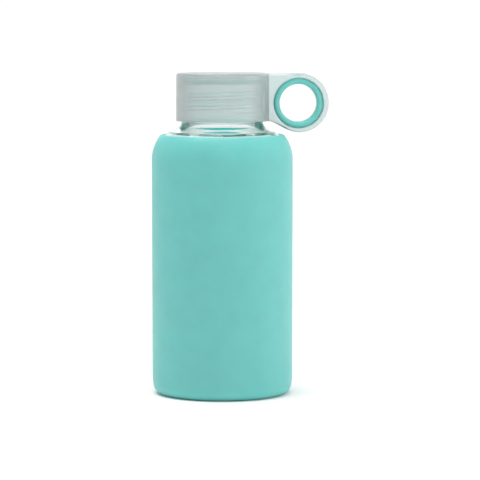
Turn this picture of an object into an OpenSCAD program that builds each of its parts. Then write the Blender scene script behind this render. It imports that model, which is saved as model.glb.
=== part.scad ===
// Glass water bottle with a silicone sleeve and a frosted screw cap with a finger loop.
// Millimetres. The origin is on the bottle's axis, in the plane it stands on. +Z is up,
// and the finger loop points along +X.

/* [Sleeve] */
// Outer diameter of the sleeve, the widest part of the bottle
body_d = 78; // [76:0.5:82]
// Thickness of the silicone
sleeve_wall = 2; // [1.6:0.1:2.4]
// Height where the straight side ends and the shoulder begins
shoulder_z = 130; // [118:1:131]
// Radius of the shoulder curve on the outside of the sleeve
shoulder_r = 21.5; // [20:0.5:22]
// How far the sleeve climbs the shoulder, in degrees
sleeve_rim_angle = 38.5; // [30:0.5:39]
// Radius of the round edge at the bottom
base_edge_r = 5.8; // [5:0.1:7]
// Height below which the side starts to draw in towards the bottom
base_taper_z = 13; // [12:0.5:16]

/* [Glass] */
// Thickness of the glass in the side wall
glass_wall = 3; // [2.4:0.1:3.2]
// Thickness of the glass floor
glass_floor = 5.5; // [4:0.5:8]
// Height of the hollow pushed up under the glass floor
punt_h = 3; // [2:0.5:4]
// Slope of the cone between shoulder and neck, in degrees
cone_slope = 26; // [22:1:30]
// Outer diameter of the plain neck below the thread
neck_d = 45.2; // [44.6:0.1:45.2]
// Diameter of the mouth
mouth_d = 36.6; // [34:0.2:37]
// Height of the lip
lip_z = 172; // [171.6:0.1:172]

/* [Thread] */
// Pitch of the single right-hand thread
pitch = 5.08; // [5:0.01:5.1]
// Number of turns of the thread on the neck
thread_turns = 2.5; // [2:0.25:2.5]
// Root diameter of the neck's thread
thread_root_d = 41.6; // [41.2:0.1:41.6]
// Height of the neck's thread above its root
thread_h = 1.3; // [1:0.1:1.3]

/* [Cap] */
// Outer diameter of the cap at its bottom edge
cap_d = 51.1; // [51:0.1:52]
// Height of the cap's bottom edge above the base
cap_bottom_z = 151.3; // [151:0.1:151.4]
// Height of the whole bottle
total_h = 178; // [177.8:0.1:179]
// Thickness of the outer shell
shell_wall = 1.5; // [1.3:0.1:1.5]
// Thickness of the threaded liner
liner_wall = 1.4; // [1.3:0.1:1.4]
// Thickness of the sealing ring
seal_t = 2.7; // [2.4:0.1:2.7]

/* [Finger loop] */
// Distance of the finger hole from the bottle's axis
hole_x = 42; // [41:0.5:44]
// Diameter of the finger hole
hole_d = 20.8; // [19:0.2:21]
// Outer diameter of the silicone ring in the loop
grommet_d = 27.8; // [27:0.2:28]
// Outer diameter of the loop
loop_d = 32.4; // [32:0.2:33]
// Thickness of the arm and the loop
arm_t = 9.5; // [9:0.5:11]
// Depth of the arm's top below the top of the cap
arm_drop = 0.6; // [0.4:0.1:1]

/* [Hidden] */
$fn = 128;

// Gap between two pieces that touch in real life but aren't joined
touch_gap = 0.05;
// Gap between two pieces that slide past each other
free_gap = 0.3;

// Base of the sleeve: a long curve draws the side in, then a small one rounds the edge
body_r = body_d / 2;
taper_r = 60;
taper_angle = asin((base_taper_z - base_edge_r) / (taper_r - base_edge_r));
taper_x = body_r - taper_r;
edge_x = taper_x + (taper_r - base_edge_r) * cos(taper_angle);

// Shoulder of the glass, under the sleeve: a wide curve, a tight one, then a cone
glass_gap = sleeve_wall + touch_gap;
shoulder_x = body_r - shoulder_r;
tight_angle = 50;
tight_r = 5;
tight_c = [shoulder_x, shoulder_z]
    + (shoulder_r - glass_gap - tight_r) * [cos(tight_angle), sin(tight_angle)];
cone_normal = 90 - cone_slope;

// Neck finish
neck_r = neck_d / 2;
root_r = thread_root_d / 2;
mouth_r = mouth_d / 2;
neck_fillet_r = 3;
bore_fillet_r = 6.5;
bead_top_z = 152.4;
bead_slope_h = 1;
lip_edge_r = 1;

// Inside of the glass body
inner_r = body_r - glass_gap - glass_wall;
inner_edge_r = 8;
floor_z = glass_gap + glass_floor;
rest_ring_r = 26;

// Cap stack, from the top down
cap_r = cap_d / 2;
cap_draft = 0.1;
cap_edge_r = 1.8;
cap_crown_h = 0.2;
shell_in_r = cap_r - cap_draft - shell_wall;
seal_z = lip_z + touch_gap;
liner_roof_z = seal_z + seal_t + touch_gap;
liner_roof_t = 1.3;
liner_top_z = liner_roof_z + liner_roof_t;
liner_bottom_z = cap_bottom_z + 0.6;
liner_out_r = shell_in_r - touch_gap;
liner_in_r = liner_out_r - liner_wall;
liner_entry_r = neck_r + free_gap;
liner_entry_h = 1.8;
seal_in_r = 15;
seal_out_r = liner_in_r - free_gap;
seal_edge = 0.4;

// Ring on the liner that snaps into a groove in the shell
snap_r = 0.7;
snap_h = 0.3;
snap_c = [liner_out_r - snap_r + snap_h, cap_bottom_z + 4];

// Thread ridges: the cap's ridge hangs under the neck's with clearance all round
ridge_foot_w = 2.4;
ridge_crest_w = 1;
ridge_foot_depth = 0.4;
ridge_segments = 32;
ridge_runout = 0.12;
neck_ridge_z = 156.4;
cap_ridge_lag = 2.05;
cap_thread_turns = 2.25;
cap_ridge_h = liner_in_r - root_r - free_gap;

// Finger loop. The loop's outer circle is a little further out than its hole
loop_r = loop_d / 2;
loop_c = [hole_x + 0.6, total_h - arm_drop - loop_r];
hole_c = [hole_x, loop_c.y];
grommet_r = grommet_d / 2;
grommet_t = 8.6;
grommet_edge_r = 1.7;
rib_w = 3;
rib_h = 1.2;

// Fillet under the arm, between the cap's bottom edge and the loop
under_r = 4.6;
under_z = cap_bottom_z - under_r;
under_x = loop_c.x - sqrt(pow(loop_r + under_r, 2) - pow(loop_c.y - under_z, 2));

// Fillets on both sides of the arm, where it grows out of the cap
flare_r = 1;
flare_y = arm_t / 2 + flare_r;
flare_x = sqrt(pow(cap_r - cap_draft + flare_r, 2) - pow(flare_y, 2));

// Points of an arc about c from angle a to angle b, in n steps
function arc(c, r, a, b, n) =
    [for (i = [0:n]) let (t = a + (b - a) * i / n) c + r * [cos(t), sin(t)]];

// Points of a shallow dome from its edge at radius w and height z in to its top on the axis
function dome(w, rise, z) =
    let (r = (w * w + rise * rise) / (2 * rise))
    arc([0, z + rise - r], r, 90 - asin(w / r), 90, 6);

function reversed(points) = [for (i = [len(points) - 1:-1:0]) points[i]];

// Outline of the base moved inwards by d, from the bottom up to the straight side
function base_outline(d) = concat(
    arc([edge_x, base_edge_r], base_edge_r - d, -90, -taper_angle, 10),
    arc([taper_x, base_taper_z], taper_r - d, -taper_angle, 0, 5));

// Outline of the shoulder moved inwards by d, from the straight side up to angle a
function shoulder_outline(d, a) = arc([shoulder_x, shoulder_z], shoulder_r - d, 0, a, 12);

// Outline of the glass moved inwards by d, from the shoulder over the cone into a neck of
// radius r, with a fillet of radius fillet_r between cone and neck
function neck_outline(d, r, fillet_r) =
    let (normal = [cos(cone_normal), sin(cone_normal)],
         cone_start = tight_c + (tight_r - d) * normal,
         run = cone_start.x - (r + fillet_r - fillet_r * normal.x),
         fillet_c = [r + fillet_r, cone_start.y + run * tan(cone_slope) + fillet_r * normal.y])
    concat(
        shoulder_outline(glass_gap + d, tight_angle),
        arc(tight_c, tight_r - d, tight_angle, cone_normal, 5),
        arc(fillet_c, fillet_r, 180 + cone_normal, 180, 8));

// A thread ridge on a wall: a trapezoid swept up a right-hand helix from angle start_a and
// height start_z. side is 1 for a ridge that points outwards and -1 for one that points in.
module ridge(wall_r, ridge_h, side, start_a, start_z, turns) {
    steps = round(turns * ridge_segments);
    slices = [for (i = [0:steps])
        let (t = i / steps,
             grow = min(1, t / ridge_runout, (1 - t) / ridge_runout),
             a = start_a + 360 * turns * t,
             z = start_z + pitch * turns * t,
             foot_r = wall_r - side * ridge_foot_depth,
             crest_r = wall_r + side * (ridge_h * grow - ridge_foot_depth * (1 - grow) / 2),
             foot_w = ridge_foot_w * (1 + grow) / 4,
             crest_w = ridge_crest_w * (1 + grow) / 4)
        [for (p = [[foot_r, -foot_w], [crest_r, -crest_w], [crest_r, crest_w], [foot_r, foot_w]])
            [p.x * cos(a), p.x * sin(a), z + p.y]]];
    sides = [for (i = [0:steps - 1], k = [0:3])
        let (next = (k + 1) % 4)
        [4 * i + k, 4 * i + next, 4 * i + next + 4, 4 * i + k + 4]];
    ends = [[3, 2, 1, 0], [for (k = [0:3]) 4 * steps + k]];
    faces = concat(sides, ends);
    polyhedron([for (slice = slices) each slice],
               side > 0 ? faces : [for (face = faces) reversed(face)],
               convexity = 10);
}

module glass_bottle() {
    profile = concat(
        base_outline(glass_gap),
        neck_outline(0, neck_r, neck_fillet_r),
        [[neck_r, bead_top_z], [root_r, bead_top_z + bead_slope_h]],
        arc([root_r - lip_edge_r, lip_z - lip_edge_r], lip_edge_r, 0, 90, 5),
        arc([mouth_r + lip_edge_r, lip_z - lip_edge_r], lip_edge_r, 90, 180, 5),
        reversed(neck_outline(glass_wall, mouth_r, bore_fillet_r)),
        arc([inner_r - inner_edge_r, floor_z + inner_edge_r], inner_edge_r, 0, -90, 8),
        dome(inner_r - inner_edge_r - 1, punt_h / 2, floor_z),
        reversed(dome(rest_ring_r, punt_h, glass_gap)));
    color("honeydew", 0.4) {
        rotate_extrude() polygon(profile);
        ridge(root_r, thread_h, 1, -90, neck_ridge_z, thread_turns);
    }
}

module silicone_sleeve() {
    rim_c = [shoulder_x, shoulder_z] + (shoulder_r - sleeve_wall / 2)
        * [cos(sleeve_rim_angle), sin(sleeve_rim_angle)];
    profile = concat(
        [[0, 0]],
        base_outline(0),
        shoulder_outline(0, sleeve_rim_angle),
        arc(rim_c, sleeve_wall / 2, sleeve_rim_angle + 20, sleeve_rim_angle + 160, 7),
        reversed(shoulder_outline(sleeve_wall, sleeve_rim_angle)),
        reversed(base_outline(sleeve_wall)),
        [[0, sleeve_wall]]);
    color("mediumaquamarine") rotate_extrude() polygon(profile);
}

// Side view of the arm: a bar from the cap to the loop, the loop, and the fillet below
module arm_side_view() {
    circle(loop_r);
    translate([-loop_c.x, cap_bottom_z - loop_c.y])
        square([loop_c.x, loop_r + loop_c.y - cap_bottom_z]);
    difference() {
        polygon([[0, 0], [under_x, under_z] - loop_c, [under_x, cap_bottom_z] - loop_c]);
        translate([under_x, under_z] - loop_c) circle(under_r);
    }
}

// Plan of the arm: a bar that flares into the round side of the cap
module arm_plan() {
    translate([0, -arm_t / 2]) square([loop_c.x + loop_r + 1, arm_t]);
    for (side = [-1, 1])
        difference() {
            polygon([[0, 0], [flare_x, 0], [flare_x, side * flare_y]]);
            translate([flare_x, side * flare_y]) circle(flare_r);
        }
}

module arm() {
    intersection() {
        translate([loop_c.x, 50, loop_c.y]) rotate([90, 0, 0])
            linear_extrude(100) arm_side_view();
        translate([0, 0, 100]) linear_extrude(100) arm_plan();
    }
}

module cap_shell() {
    top_r = cap_r - cap_draft - cap_edge_r;
    top_z = total_h - cap_crown_h;
    outside = concat(
        [[0, cap_bottom_z], [cap_r, cap_bottom_z]],
        arc([top_r, top_z - cap_edge_r], cap_edge_r, 0, 85, 6),
        dome(top_r, cap_crown_h, top_z));
    cavity = [[0, cap_bottom_z - 1], [shell_in_r, cap_bottom_z - 1],
              [shell_in_r, liner_top_z + touch_gap], [0, liner_top_z + touch_gap]];
    half_rib = rib_w / 2;
    seat = [[0, -arm_t], [grommet_r, -arm_t], [grommet_r, -half_rib],
            [grommet_r - rib_h, -half_rib], [grommet_r - rib_h, half_rib],
            [grommet_r, half_rib], [grommet_r, arm_t], [0, arm_t]];
    color("lightcyan", 0.8) difference() {
        union() {
            rotate_extrude() polygon(outside);
            arm();
        }
        rotate_extrude() polygon(cavity);
        rotate_extrude() translate(snap_c) circle(snap_r + touch_gap);
        translate([hole_c.x, 0, hole_c.y]) rotate([90, 0, 0]) rotate_extrude() polygon(seat);
    }
}

module cap_liner() {
    profile = [[0, liner_roof_z], [liner_in_r, liner_roof_z],
               [liner_in_r, liner_bottom_z + liner_entry_h + liner_entry_r - liner_in_r],
               [liner_entry_r, liner_bottom_z + liner_entry_h],
               [liner_entry_r, liner_bottom_z], [liner_out_r, liner_bottom_z],
               [liner_out_r, liner_top_z], [0, liner_top_z]];
    color("azure", 0.8) {
        rotate_extrude() polygon(profile);
        rotate_extrude() translate(snap_c) circle(snap_r);
        ridge(liner_in_r, cap_ridge_h, -1, 90, neck_ridge_z - cap_ridge_lag + pitch / 2,
              cap_thread_turns);
    }
}

module seal_gasket() {
    profile = [[seal_in_r, seal_edge], [seal_in_r + seal_edge, 0],
               [seal_out_r - seal_edge, 0], [seal_out_r, seal_edge],
               [seal_out_r, seal_t - seal_edge], [seal_out_r - seal_edge, seal_t],
               [seal_in_r + seal_edge, seal_t], [seal_in_r, seal_t - seal_edge]];
    color("mediumturquoise") translate([0, 0, seal_z]) rotate_extrude() polygon(profile);
}

module loop_grommet() {
    out_r = grommet_r - touch_gap;
    groove_r = out_r - rib_h;
    half_t = grommet_t / 2;
    half_groove = rib_w / 2 + touch_gap;
    crown_y = half_t - grommet_edge_r;
    in_c_r = hole_d / 2 + grommet_edge_r;
    out_c_r = out_r - grommet_edge_r;
    profile = concat(
        arc([in_c_r, crown_y], grommet_edge_r, 180, 90, 7),
        arc([out_c_r, crown_y], grommet_edge_r, 90, 0, 7),
        [[out_r, half_groove], [groove_r, half_groove],
         [groove_r, -half_groove], [out_r, -half_groove]],
        arc([out_c_r, -crown_y], grommet_edge_r, 0, -90, 7),
        arc([in_c_r, -crown_y], grommet_edge_r, -90, -180, 7));
    color("mediumaquamarine") translate([hole_c.x, 0, hole_c.y]) rotate([90, 0, 0])
        rotate_extrude() polygon(profile);
}

glass_bottle();
silicone_sleeve();
cap_shell();
cap_liner();
seal_gasket();
loop_grommet();
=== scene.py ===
"""Looks of the glass water bottle: silicone sleeve over glass, frosted screw cap with a finger loop."""

import math

import bpy
import numpy as np
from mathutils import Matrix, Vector


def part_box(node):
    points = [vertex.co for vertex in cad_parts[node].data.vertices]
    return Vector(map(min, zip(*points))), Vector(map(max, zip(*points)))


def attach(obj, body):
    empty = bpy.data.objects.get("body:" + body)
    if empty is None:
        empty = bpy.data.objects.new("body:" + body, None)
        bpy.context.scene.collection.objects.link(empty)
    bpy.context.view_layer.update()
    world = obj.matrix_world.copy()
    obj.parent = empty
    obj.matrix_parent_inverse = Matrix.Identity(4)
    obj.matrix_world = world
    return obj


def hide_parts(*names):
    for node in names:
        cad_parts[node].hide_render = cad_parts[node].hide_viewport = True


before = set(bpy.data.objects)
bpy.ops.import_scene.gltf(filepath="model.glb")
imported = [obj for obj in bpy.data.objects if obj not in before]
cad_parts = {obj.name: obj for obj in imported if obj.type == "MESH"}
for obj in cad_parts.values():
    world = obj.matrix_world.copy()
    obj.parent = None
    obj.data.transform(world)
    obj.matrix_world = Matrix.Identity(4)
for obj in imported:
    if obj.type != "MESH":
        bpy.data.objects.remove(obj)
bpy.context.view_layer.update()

MM = 0.001


def node_box(node):
    """Lowest and highest corners of a CAD node, in millimetres."""
    low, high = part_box(node)
    return np.array(low) / MM, np.array(high) / MM


# ---------------------------------------------------------------- sizes, in millimetres
sleeve_high = node_box("silicone_sleeve")[1]
glass_low, glass_high = node_box("glass_bottle")
shell_low, shell_high = node_box("cap_shell")
liner_low, liner_high = node_box("cap_liner")
seal_low, seal_high = node_box("seal_gasket")
grommet_low, grommet_high = node_box("loop_grommet")

# Body and shoulder: arcs shared by the sleeve and the glass under it
BODY_R = sleeve_high[0]
SLEEVE_WALL = 2.0
# The stretched silicone clings to the glass, so its inside reaches just past the glass surface
CLING = 0.12
SHOULDER_Z = 130.0
SHOULDER_R = 21.5
RIM_ANGLE = 38.5
BASE_EDGE_R = 5.8
BASE_TAPER_Z = 13.0
BASE_TAPER_R = 60.0

# Glass
GLASS_R = glass_high[0]
GLASS_BOTTOM_Z = glass_low[2]
LIP_Z = glass_high[2]
GLASS_WALL = 3.0
GLASS_FLOOR = 5.5
HEEL_R = 8.0
PUNT_H = 3.0
PUNT_R = 25.0
LIP_EDGE_R = 1.0
TIGHT_ANGLE = 50.0
TIGHT_R = 5.0
CONE_NORMAL = 64.0
NECK_R = 22.6
NECK_BEAD_Z = 152.4
THREAD_ROOT_R = 20.8
MOUTH_R = 18.3
NECK_FILLET_R = 3.0
BORE_FILLET_R = 6.5

# Thread, the same helix as in the CAD model
PITCH = 5.08
THREAD_H = 1.3
THREAD_TURNS = 2.5
THREAD_START_Z = 156.4
THREAD_START_ANGLE = -90.0
# Half the width of a ridge's foot, the width of its slope, and the share of its length that it fades over
THREAD_HALF_W = 1.25
THREAD_FLANK_W = 0.85
THREAD_RUNOUT = 0.12
# Height between two rows of points on a threaded wall
THREAD_STEP = 0.16

# The cap's ridge hangs this far under the glass's ridge, with clearance all round
CAP_THREAD_LAG = 2.05
CAP_THREAD_TURNS = 2.25
CAP_THREAD_H = 1.4

# Cap
CAP_BOTTOM_Z = liner_low[2] - 0.6
CAP_TOP_Z = shell_high[2]
CAP_R = -shell_low[0]
CAP_DRAFT = 0.1
CAP_EDGE_R = 1.8
CAP_CROWN = 0.2
SHELL_IN_R = 23.95
LINER_WALL = 1.4
LINER_R = SHELL_IN_R - 0.05
LINER_ROOF_T = 1.3

# Arm and loop
HOLE_X = (grommet_low[0] + grommet_high[0]) / 2
HOLE_Z = (grommet_low[2] + grommet_high[2]) / 2
HOLE_R = 10.4
GROMMET_R = (grommet_high[0] - grommet_low[0]) / 2
GROMMET_T = grommet_high[1] - grommet_low[1]
LOOP_R = 16.2
LOOP_X = shell_high[0] - LOOP_R
ARM_T = 9.5
ARM_TOP_Z = HOLE_Z + LOOP_R
ARM_EDGE_R = 1.4
FLARE_R = 1.0
# How far the arm's fillets start inside the cap's side
FLARE_DEPTH = 0.7
UNDER_R = 4.6
RIB_W = 3.0
RIB_H = 1.2


# ---------------------------------------------------------------- outlines
def arc(cx, cz, r, start, end, count):
    """Points of an arc about (cx, cz), with angles in degrees."""
    angles = np.radians(np.linspace(start, end, count))
    return [(cx + r * math.cos(a), cz + r * math.sin(a)) for a in angles]


def line(a, b, step):
    """Points between a and b, a step apart or a little less, without the two ends."""
    a, b = np.array(a, float), np.array(b, float)
    count = max(1, math.ceil(np.linalg.norm(b - a) / step))
    return [tuple(a + (b - a) * i / count) for i in range(1, count)]


def joined(*parts, step=4.0):
    """One outline out of several stretches, with long gaps between them filled by points."""
    points = []
    for part in parts:
        if points and part:
            points += line(points[-1], part[0], step)
        points += part
    return points


def base_outline(inset):
    """The base moved inwards by inset: a small curve at the edge, then a long one up to the side."""
    taper = math.degrees(math.asin((BASE_TAPER_Z - BASE_EDGE_R) / (BASE_TAPER_R - BASE_EDGE_R)))
    edge_x = BODY_R - BASE_TAPER_R + (BASE_TAPER_R - BASE_EDGE_R) * math.cos(math.radians(taper))
    edge = arc(edge_x, BASE_EDGE_R, BASE_EDGE_R - inset, -90, -taper, 14)
    side = arc(BODY_R - BASE_TAPER_R, BASE_TAPER_Z, BASE_TAPER_R - inset, -taper, 0, 8)
    return edge + side[1:]


def shoulder_outline(inset, end):
    """The shoulder moved inwards by inset, from the straight side up to the angle end."""
    return arc(BODY_R - SHOULDER_R, SHOULDER_Z, SHOULDER_R - inset, 0, end, 22)


def neck_outline(inset, r, fillet):
    """The glass moved inwards by inset, from the shoulder over the cone into a neck of radius r."""
    gap = BODY_R - GLASS_R
    reach = SHOULDER_R - gap - TIGHT_R
    tight = (BODY_R - SHOULDER_R + reach * math.cos(math.radians(TIGHT_ANGLE)),
             SHOULDER_Z + reach * math.sin(math.radians(TIGHT_ANGLE)))
    normal = (math.cos(math.radians(CONE_NORMAL)), math.sin(math.radians(CONE_NORMAL)))
    cone = (tight[0] + (TIGHT_R - inset) * normal[0], tight[1] + (TIGHT_R - inset) * normal[1])
    fillet_x = r + fillet
    run = cone[0] - (fillet_x - fillet * normal[0])
    fillet_z = cone[1] + run * normal[0] / normal[1] + fillet * normal[1]
    return joined(
        shoulder_outline(gap + inset, TIGHT_ANGLE),
        arc(*tight, TIGHT_R - inset, TIGHT_ANGLE, CONE_NORMAL, 10)[1:],
        arc(fillet_x, fillet_z, fillet, 180 + CONE_NORMAL, 180, 14),
        step=1.0)


# ---------------------------------------------------------------- meshes
def mesh_object(name, vertices, faces, body, node, material):
    """A smooth mesh piece, from vertices in millimetres, in place of a CAD node and riding on its body."""
    mesh = bpy.data.meshes.new(name)
    mesh.from_pydata((np.asarray(vertices) * MM).tolist(), [], faces)
    mesh.validate()
    mesh.polygons.foreach_set("use_smooth", [True] * len(mesh.polygons))
    mesh.materials.append(material)
    piece = bpy.data.objects.new(name, mesh)
    bpy.context.scene.collection.objects.link(piece)
    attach(piece, body)
    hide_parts(node)
    return piece


def revolved(outline, segments, closed, warp=None):
    """Vertices and faces of an outline of (radius, height) points turned about Z.

    A closed outline makes a ring; an open one starts and ends on the axis. warp(r, angle, z) gives
    the radius of every point when the surface isn't quite round, as along a thread."""
    outline = np.array(outline)
    ring = outline if closed else outline[1:-1]
    angles = np.linspace(0, 2 * math.pi, segments, endpoint=False)
    r, a = np.meshgrid(ring[:, 0], angles, indexing="ij")
    z = np.meshgrid(ring[:, 1], angles, indexing="ij")[0]
    if warp:
        r = warp(r, a, z)
    vertices = np.stack([r * np.cos(a), r * np.sin(a), z], axis=-1).reshape(-1, 3)
    rows = len(ring)
    faces = []
    for i in range(rows if closed else rows - 1):
        upper = (i + 1) % rows
        for k in range(segments):
            after = (k + 1) % segments
            faces.append((i * segments + k, i * segments + after,
                          upper * segments + after, upper * segments + k))
    if not closed:
        bottom, top = len(vertices), len(vertices) + 1
        vertices = np.vstack([vertices, [0, 0, outline[0, 1]], [0, 0, outline[-1, 1]]])
        last = (rows - 1) * segments
        for k in range(segments):
            after = (k + 1) % segments
            faces.append((bottom, after, k))
            faces.append((top, last + k, last + after))
    return vertices, faces


def thread_height(angle, z, start_z, start_angle, turns, height):
    """Height of a rounded thread above its wall, at each angle (radians) and height z."""
    turn = ((np.degrees(angle) - start_angle) % 360) / 360
    best = np.zeros_like(z)
    for k in range(math.ceil(turns) + 1):
        along = (turn + k) / turns
        grow = np.clip(np.minimum(along, 1 - along) / THREAD_RUNOUT, 0, 1)
        away = np.abs(z - start_z - PITCH * (turn + k))
        flank = np.clip((THREAD_HALF_W - away) / THREAD_FLANK_W, 0, 1)
        ridge = height * grow * flank * flank * (3 - 2 * flank)
        best = np.maximum(best, np.where(along <= 1, ridge, 0))
    return best


def surface_net(distance, low, high, step):
    """Vertices and faces of the surface where distance(x, y, z) is zero, in a grid of cells a step wide."""
    axes = [np.arange(low[i], high[i] + step, step) for i in range(3)]
    value = distance(*np.meshgrid(*axes, indexing="ij", sparse=True))
    shape = np.array(value.shape) - 1
    corners = [(i, j, k) for i in (0, 1) for j in (0, 1) for k in (0, 1)]

    def at(corner):
        return value[tuple(slice(c, c + n) for c, n in zip(corner, shape))]

    total = np.zeros(tuple(shape) + (3,))
    crossings = np.zeros(shape)
    for a in corners:
        for axis in range(3):
            if a[axis]:
                continue
            b = tuple(c + (i == axis) for i, c in enumerate(a))
            va, vb = at(a), at(b)
            cut = (va < 0) != (vb < 0)
            part = np.where(cut, va / np.where(cut, va - vb, 1), 0)
            crossings += cut
            for i in range(3):
                total[..., i] += cut * a[i] + (part if i == axis else 0)
    active = crossings > 0
    number = np.full(tuple(shape), -1)
    number[active] = np.arange(active.sum())
    cells = np.argwhere(active)
    vertices = np.array(low) + step * (cells + total[active] / crossings[active][:, None])

    faces = []
    for axis in range(3):
        u, v = (axis + 1) % 3, (axis + 2) % 3
        inner = [slice(1, n) for n in shape]
        inner[axis] = slice(0, shape[axis])
        shifted = list(inner)
        shifted[axis] = slice(1, shape[axis] + 1)
        inside, beyond = value[tuple(inner)] < 0, value[tuple(shifted)] < 0
        for entering in (True, False):
            spots = np.argwhere((inside & ~beyond) if entering else (~inside & beyond))
            spots[:, u] += 1
            spots[:, v] += 1
            quad = []
            for du, dv in ((-1, -1), (0, -1), (0, 0), (-1, 0)):
                cell = spots.copy()
                cell[:, u] += du
                cell[:, v] += dv
                quad.append(number[tuple(cell.T)])
            quad = np.stack(quad if entering else quad[::-1], axis=1)
            faces.append(quad)
    faces = np.vstack(faces)

    for _ in range(4):
        slope = np.stack([
            (distance(*(vertices + offset).T) - distance(*(vertices - offset).T)) / 0.02
            for offset in np.eye(3) * 0.01], axis=1)
        off = distance(*vertices.T)
        push = off / np.maximum((slope ** 2).sum(axis=1), 0.25)
        vertices = vertices - np.clip(push, -step / 2, step / 2)[:, None] * slope
    return vertices, faces.tolist()


# ---------------------------------------------------------------- distance fields
def length(*parts):
    return np.sqrt(sum(p * p for p in parts))


def both(a, b, r):
    """Where both fields are inside, with an edge rounded to r."""
    a, b = a + r, b + r
    return np.minimum(np.maximum(a, b), 0) + length(np.maximum(a, 0), np.maximum(b, 0)) - r


def either(a, b, r):
    """Where either field is inside, with the inner corner filled to r."""
    return -both(-a, -b, r)


def cap_distance(x, y, z):
    """Distance from the surface of the cap shell with its arm and loop."""
    r = length(x, y)
    rise = (z - CAP_BOTTOM_Z) / (CAP_TOP_Z - CAP_BOTTOM_Z)
    top_z = CAP_TOP_Z - CAP_CROWN * (r / CAP_R) ** 2
    side = r - (CAP_R - CAP_DRAFT * rise)
    outside = both(both(side, z - top_z, CAP_EDGE_R), CAP_BOTTOM_Z - z, 0.35)

    bar = np.maximum(np.maximum(x - LOOP_X, -x),
                     np.maximum(z - ARM_TOP_Z, CAP_BOTTOM_Z - z))
    loop = length(x - LOOP_X, z - HOLE_Z) - LOOP_R
    side_view = np.maximum(either(bar, loop, UNDER_R), z - ARM_TOP_Z)
    strip = np.maximum(np.abs(y) - ARM_T / 2, -x)
    plan = either(strip, r - (CAP_R - FLARE_DEPTH), FLARE_R)
    arm = both(side_view, plan, ARM_EDGE_R)
    solid = either(outside, arm, 0.5)

    cavity = both(r - SHELL_IN_R, z - (liner_high[2] + 0.05), 0.3)
    hole = length(x - HOLE_X, z - HOLE_Z)
    seat = np.minimum(np.maximum(hole - GROMMET_R - 0.05, RIB_W / 2 - np.abs(y)),
                      hole - GROMMET_R - 0.05 + RIB_H)
    return both(both(solid, -cavity, 0.3), -seat, 0.45)


# ---------------------------------------------------------------- materials
def new_material(name):
    """A material with its node tree, its Principled node and a way to add and link nodes."""
    material = bpy.data.materials.new(name)
    material.use_nodes = True
    tree = material.node_tree
    return material, tree, tree.nodes["Principled BSDF"]


def noise(tree, scale, detail=2.0, roughness=0.5):
    """Noise in the piece's own coordinates. scale is in cells per metre."""
    place = tree.nodes.new("ShaderNodeTexCoord")
    texture = tree.nodes.new("ShaderNodeTexNoise")
    texture.inputs["Scale"].default_value = scale
    texture.inputs["Detail"].default_value = detail
    texture.inputs["Roughness"].default_value = roughness
    tree.links.new(place.outputs["Object"], texture.inputs["Vector"])
    return texture.outputs["Fac"]


def ranged(tree, value, low, high):
    """A noise value, mostly between 0.3 and 0.7, spread between low and high."""
    node = tree.nodes.new("ShaderNodeMapRange")
    node.inputs["From Min"].default_value = 0.3
    node.inputs["From Max"].default_value = 0.7
    node.inputs["To Min"].default_value = low
    node.inputs["To Max"].default_value = high
    tree.links.new(value, node.inputs["Value"])
    return node.outputs["Result"]


def mixed_colour(tree, factor, dark, light):
    node = tree.nodes.new("ShaderNodeMix")
    node.data_type = "RGBA"
    node.inputs["A"].default_value = (*dark, 1)
    node.inputs["B"].default_value = (*light, 1)
    tree.links.new(factor, node.inputs["Factor"])
    return node.outputs["Result"]


def bump(tree, shader, height, distance, strength=1.0, before=None):
    """Adds fine relief to a shader. distance is the relief's height in metres."""
    node = tree.nodes.new("ShaderNodeBump")
    node.inputs["Distance"].default_value = distance
    node.inputs["Strength"].default_value = strength
    tree.links.new(height, node.inputs["Height"])
    if before:
        tree.links.new(before, node.inputs["Normal"])
    tree.links.new(node.outputs["Normal"], shader.inputs["Normal"])
    return node.outputs["Normal"]


def silicone(name, colour, roughness, translucency, grain=0.00001):
    """Soft-touch silicone: a faint cloudiness in colour and gloss, a powder-fine grain."""
    material, tree, shader = new_material(name)
    cloud = ranged(tree, noise(tree, 90, 3), 0, 1)
    dark = [c * 0.97 for c in colour]
    light = [min(1, c * 1.03) for c in colour]
    tree.links.new(mixed_colour(tree, cloud, dark, light), shader.inputs["Base Color"])
    tree.links.new(ranged(tree, noise(tree, 400, 4), roughness - 0.04, roughness + 0.04),
                   shader.inputs["Roughness"])
    shader.inputs["IOR"].default_value = 1.42
    shader.inputs["Subsurface Weight"].default_value = translucency
    shader.inputs["Subsurface Radius"].default_value = (0.5, 1, 0.95)
    shader.inputs["Subsurface Scale"].default_value = 0.012
    first = bump(tree, shader, noise(tree, 3500, 2), grain)
    bump(tree, shader, noise(tree, 300, 2), grain * 2, 0.5, first)
    return material


def absorb(tree, tint, depth):
    """Tints a clear material by depth: what is left of white after depth metres is nearly tint."""
    volume = tree.nodes.new("ShaderNodeVolumeAbsorption")
    volume.inputs["Color"].default_value = (*tint, 1)
    volume.inputs["Density"].default_value = 1 / depth
    tree.links.new(volume.outputs["Volume"], tree.nodes["Material Output"].inputs["Volume"])


def frosted(name, colour, roughness, transmission, tint, depth):
    """Frosted polypropylene: light passes, but scattered by a fine eroded surface."""
    material, tree, shader = new_material(name)
    cloud = ranged(tree, noise(tree, 60, 3), 0, 1)
    dark = [c * 0.985 for c in colour]
    light = [min(1, c * 1.015) for c in colour]
    tree.links.new(mixed_colour(tree, cloud, dark, light), shader.inputs["Base Color"])
    tree.links.new(ranged(tree, noise(tree, 500, 3), roughness - 0.015, roughness + 0.015),
                   shader.inputs["Roughness"])
    shader.inputs["IOR"].default_value = 1.49
    shader.inputs["Transmission Weight"].default_value = transmission
    bump(tree, shader, noise(tree, 4000, 2), 0.000008)
    absorb(tree, tint, depth)
    return material


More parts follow.
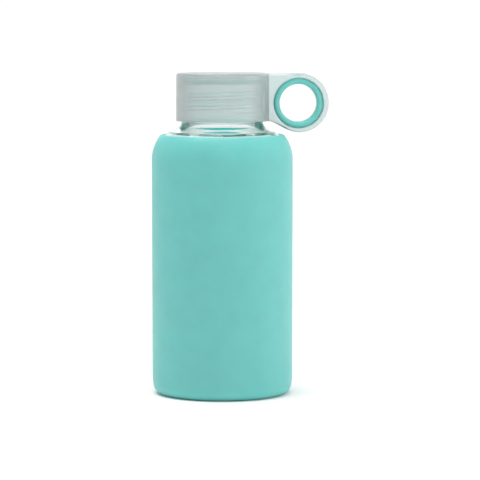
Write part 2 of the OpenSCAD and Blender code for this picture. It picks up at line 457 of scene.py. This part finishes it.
def glass(name, tint, depth):
    """Clear soda-lime glass, tinted by depth, with the faint waviness of a blown wall."""
    material, tree, shader = new_material(name)
    shader.inputs["Base Color"].default_value = (1, 1, 1, 1)
    shader.inputs["Roughness"].default_value = 0
    shader.inputs["IOR"].default_value = 1.52
    shader.inputs["Transmission Weight"].default_value = 1
    bump(tree, shader, noise(tree, 45, 1), 0.00012, 0.5)
    absorb(tree, tint, depth)
    return material


TURQUOISE = (0.15, 0.575, 0.525)
sleeve_look = silicone("sleeve_silicone", TURQUOISE, 0.42, 1.0)
grommet_look = silicone("grommet_silicone", (0.14, 0.49, 0.45), 0.4, 0.5)
seal_look = silicone("seal_silicone", (0.2, 0.95, 0.85), 0.4, 0.5)
# Both plastics stay under a roughness of 0.27, since specks appear where it wanders across that
shell_look = frosted("frosted_plastic", (0.92, 1, 0.985), 0.255, 0.76, (0.5, 0.7, 0.69), 0.011)
liner_look = frosted("liner_plastic", (0.96, 1, 0.995), 0.2, 1, (0.6, 0.8, 0.79), 0.02)
glass_look = glass("clear_glass", (0.75, 0.93, 0.88), 0.035)


# ---------------------------------------------------------------- pieces
def make_sleeve():
    rim = (BODY_R - SHOULDER_R + (SHOULDER_R - SLEEVE_WALL / 2) * math.cos(math.radians(RIM_ANGLE)),
           SHOULDER_Z + (SHOULDER_R - SLEEVE_WALL / 2) * math.sin(math.radians(RIM_ANGLE)))
    outline = joined(
        [(0, 0)],
        base_outline(0),
        shoulder_outline(0, RIM_ANGLE),
        arc(*rim, SLEEVE_WALL / 2, RIM_ANGLE + 15, RIM_ANGLE + 165, 11),
        shoulder_outline(SLEEVE_WALL + CLING, RIM_ANGLE)[::-1],
        base_outline(SLEEVE_WALL + CLING)[::-1],
        [(0, SLEEVE_WALL + CLING)])
    vertices, faces = revolved(outline, 192, closed=False)
    return mesh_object("sleeve", vertices, faces, "bottle", "silicone_sleeve",
                       sleeve_look)


def make_glass():
    floor_z = GLASS_BOTTOM_Z + GLASS_FLOOR
    inner_r = GLASS_R - GLASS_WALL
    outer = joined(
        base_outline(GLASS_BOTTOM_Z),
        neck_outline(0, NECK_R, NECK_FILLET_R),
        arc(NECK_R - 0.5, NECK_BEAD_Z - 0.5, 0.5, 0, 50, 5),
        arc(THREAD_ROOT_R + 0.8, NECK_BEAD_Z + 1.6, 0.8, 225, 180, 6),
        step=3.0)
    finish = line(outer[-1], (THREAD_ROOT_R, LIP_Z - LIP_EDGE_R), THREAD_STEP)
    lip = (arc(THREAD_ROOT_R - LIP_EDGE_R, LIP_Z - LIP_EDGE_R, LIP_EDGE_R, 0, 90, 9)
           + arc(MOUTH_R + LIP_EDGE_R, LIP_Z - LIP_EDGE_R, LIP_EDGE_R, 90, 180, 9))
    inner = joined(
        lip,
        neck_outline(GLASS_WALL, MOUTH_R, BORE_FILLET_R)[::-1],
        arc(inner_r - HEEL_R, floor_z + HEEL_R, HEEL_R, 0, -86, 14),
        [(0, floor_z + 1.5)], step=3.0)
    punt = joined(
        [(0, GLASS_BOTTOM_Z + PUNT_H)],
        [(0.56 * PUNT_R, GLASS_BOTTOM_Z + 0.7 * PUNT_H)],
        [(PUNT_R, GLASS_BOTTOM_Z)], step=2)
    outline = punt + outer + finish + inner

    def warp(r, a, z):
        rise = thread_height(a, z, THREAD_START_Z, THREAD_START_ANGLE, THREAD_TURNS, THREAD_H)
        on_finish = (np.abs(r - THREAD_ROOT_R) < 0.01) & (z > NECK_BEAD_Z + 1) & (z < LIP_Z - 0.9)
        return r + np.where(on_finish, rise, 0)

    vertices, faces = revolved(outline, 240, closed=False, warp=warp)
    return mesh_object("bottle_glass", vertices, faces, "bottle", "glass_bottle",
                       glass_look)


def make_liner():
    roof_z = liner_high[2] - LINER_ROOF_T
    in_r = LINER_R - LINER_WALL
    entry_r = NECK_R + 0.3
    bottom = liner_low[2]
    wall_low, wall_high = (in_r, bottom + 2.6), (in_r, roof_z - 0.5)
    outline = joined(
        [(0, roof_z)],
        arc(in_r - 0.5, roof_z - 0.5, 0.5, 90, 0, 5),
        line(wall_high, wall_low, THREAD_STEP),
        [wall_low, (entry_r, bottom + 1.8)],
        arc(entry_r + 0.3, bottom + 0.3, 0.3, 180, 270, 4),
        arc(LINER_R - 0.3, bottom + 0.3, 0.3, 270, 360, 4),
        arc(LINER_R - 0.6, liner_high[2] - 0.6, 0.6, 0, 90, 6),
        [(0, liner_high[2])], step=2.0)

    def warp(r, a, z):
        rise = thread_height(a, z, THREAD_START_Z - CAP_THREAD_LAG + PITCH / 2,
                             THREAD_START_ANGLE + 180, CAP_THREAD_TURNS, CAP_THREAD_H)
        on_wall = (np.abs(r - in_r) < 0.01) & (z < roof_z - 0.4)
        return r - np.where(on_wall, rise, 0)

    vertices, faces = revolved(outline[::-1], 240, closed=False, warp=warp)
    return mesh_object("cap_inner", vertices, [f[::-1] for f in faces], "cap", "cap_liner",
                       liner_look)


def make_seal():
    inner, outer = 15.0, seal_high[0]
    edge = 0.5
    low, high = seal_low[2], seal_high[2]
    outline = joined(
        arc(inner + edge, low + edge, edge, 180, 270, 5),
        arc(outer - edge, low + edge, edge, 270, 360, 5),
        arc(outer - edge, high - edge, edge, 0, 90, 5),
        arc(inner + edge, high - edge, edge, 90, 180, 5), step=1.0)
    vertices, faces = revolved(outline, 144, closed=True)
    return mesh_object("seal_ring", vertices, faces, "seal", "seal_gasket", seal_look)


def make_grommet():
    half = GROMMET_T / 2
    edge = 1.7
    groove_r = GROMMET_R - RIB_H
    crown = half - edge
    outline = joined(
        arc(HOLE_R + edge, -crown, edge, 180, 270, 10),
        arc(GROMMET_R - edge, -crown, edge, 270, 360, 10),
        [(GROMMET_R, -RIB_W / 2 - 0.05), (groove_r, -RIB_W / 2 - 0.05)],
        [(groove_r, RIB_W / 2 + 0.05), (GROMMET_R, RIB_W / 2 + 0.05)],
        arc(GROMMET_R - edge, crown, edge, 0, 90, 10),
        arc(HOLE_R + edge, crown, edge, 90, 180, 10), step=0.8)
    vertices, faces = revolved(outline, 160, closed=True)
    x, y, z = np.array(vertices).T
    turned = np.stack([x + HOLE_X, -z, y + HOLE_Z], axis=1)
    return mesh_object("loop_ring", turned, faces, "cap", "loop_grommet",
                       grommet_look)


def make_shell():
    margin = 1.5
    low = (-CAP_R - margin, -CAP_R - margin, shell_low[2] - margin)
    high = (shell_high[0] + margin, CAP_R + margin, CAP_TOP_Z + margin)
    step = 0.45
    vertices, faces = surface_net(cap_distance, low, high, step)
    return mesh_object("cap_outer", vertices, faces, "cap", "cap_shell", shell_look)


make_sleeve()
make_glass()
make_liner()
make_seal()
make_grommet()
make_shell()


# ---------------------------------------------------------------- studio
# How bright the world is from the far left, -1, to the far right, 1
WORLD_GREYS = [
    (-0.99, 0.56), (-0.55, 0.56), (-0.25, 0.87), (-0.12, 1.0), (0.2, 1.0), (0.5, 0.95), (0.99, 0.9)]


def make_camera():
    """A long lens a little above the cap, level with it across 1.4 m, tipped down to the bottle."""
    distance, height = 1.4, 0.2074
    aim_aside, aim_height = 0.0098, 0.0852
    azimuth = math.radians(-4)
    right = Vector((math.cos(azimuth), math.sin(azimuth), 0))
    camera = bpy.data.objects.new("camera", bpy.data.cameras.new("camera"))
    camera.location = (distance * math.sin(azimuth), -distance * math.cos(azimuth), height)
    aim = right * aim_aside + Vector((0, 0, aim_height))
    camera.rotation_euler = (aim - camera.location).to_track_quat("-Z", "Y").to_euler()
    camera.data.lens = 189.95
    bpy.context.scene.collection.objects.link(camera)
    bpy.context.scene.camera = camera


def make_floor():
    material, tree, shader = new_material("floor")
    shader.inputs["Base Color"].default_value = (0.95, 0.90, 0.905, 1)
    shader.inputs["Roughness"].default_value = 0.9
    mesh = bpy.data.meshes.new("floor")
    size = 20
    mesh.from_pydata([(-size, -size, 0), (size, -size, 0), (size, size, 0), (-size, size, 0)], [],
                     [(0, 1, 2, 3)])
    mesh.materials.append(material)
    floor = bpy.data.objects.new("floor", mesh)
    bpy.context.scene.collection.objects.link(floor)


def area_light(name, place, aim, size, power):
    light = bpy.data.lights.new(name, "AREA")
    light.shape = "RECTANGLE"
    light.size, light.size_y = size
    light.energy = power
    lamp = bpy.data.objects.new(name, light)
    lamp.location = place
    lamp.rotation_euler = (Vector(aim) - Vector(place)).to_track_quat("-Z", "Y").to_euler()
    bpy.context.scene.collection.objects.link(lamp)


def sun_light(name, towards, softness, strength):
    light = bpy.data.lights.new(name, "SUN")
    light.angle = math.radians(softness)
    light.energy = strength
    lamp = bpy.data.objects.new(name, light)
    lamp.rotation_euler = (-Vector(towards)).to_track_quat("-Z", "Y").to_euler()
    bpy.context.scene.collection.objects.link(lamp)


def make_world():
    """A white studio that is dimmer to the left and right of the bottle, which draws its edges."""
    world = bpy.data.worlds.new("studio")
    bpy.context.scene.world = world
    world.use_nodes = True
    tree = world.node_tree
    place = tree.nodes.new("ShaderNodeTexCoord")
    split = tree.nodes.new("ShaderNodeSeparateXYZ")
    across = tree.nodes.new("ShaderNodeMapRange")
    ramp = tree.nodes.new("ShaderNodeValToRGB")
    across.inputs["From Min"].default_value = -1
    tree.links.new(place.outputs["Generated"], split.inputs["Vector"])
    tree.links.new(split.outputs["X"], across.inputs["Value"])
    tree.links.new(across.outputs["Result"], ramp.inputs["Fac"])
    tree.links.new(ramp.outputs["Color"], tree.nodes["Background"].inputs["Color"])
    stops = ramp.color_ramp.elements
    for x, grey in WORLD_GREYS:
        stop = stops.new((x + 1) / 2)
        stop.color = (grey, grey, grey, 1)
    stops.remove(stops[0])
    stops.remove(stops[-1])
    tree.nodes["Background"].inputs["Strength"].default_value = 1.04


def make_lights():
    make_world()
    sun_light("key", (-0.35, 0.1, 1), 40, 0.95)
    area_light("side", (0.9, -0.3, 0.35), (0, 0, 0.1), (0.5, 0.8), 1.1)
    area_light("top", (-0.05, -0.25, 1.2), (0, 0, 0.13), (0.6, 0.2), 4)


make_camera()
make_floor()
make_lights()
scene = bpy.context.scene
scene.view_settings.view_transform = "Standard"
scene.cycles.max_bounces = 24
scene.cycles.transmission_bounces = 20
scene.cycles.glossy_bounces = 20
scene.cycles.diffuse_bounces = 8
scene.cycles.sample_clamp_indirect = 1.2
scene.cycles.blur_glossy = 1
scene.cycles.transparent_max_bounces = 16
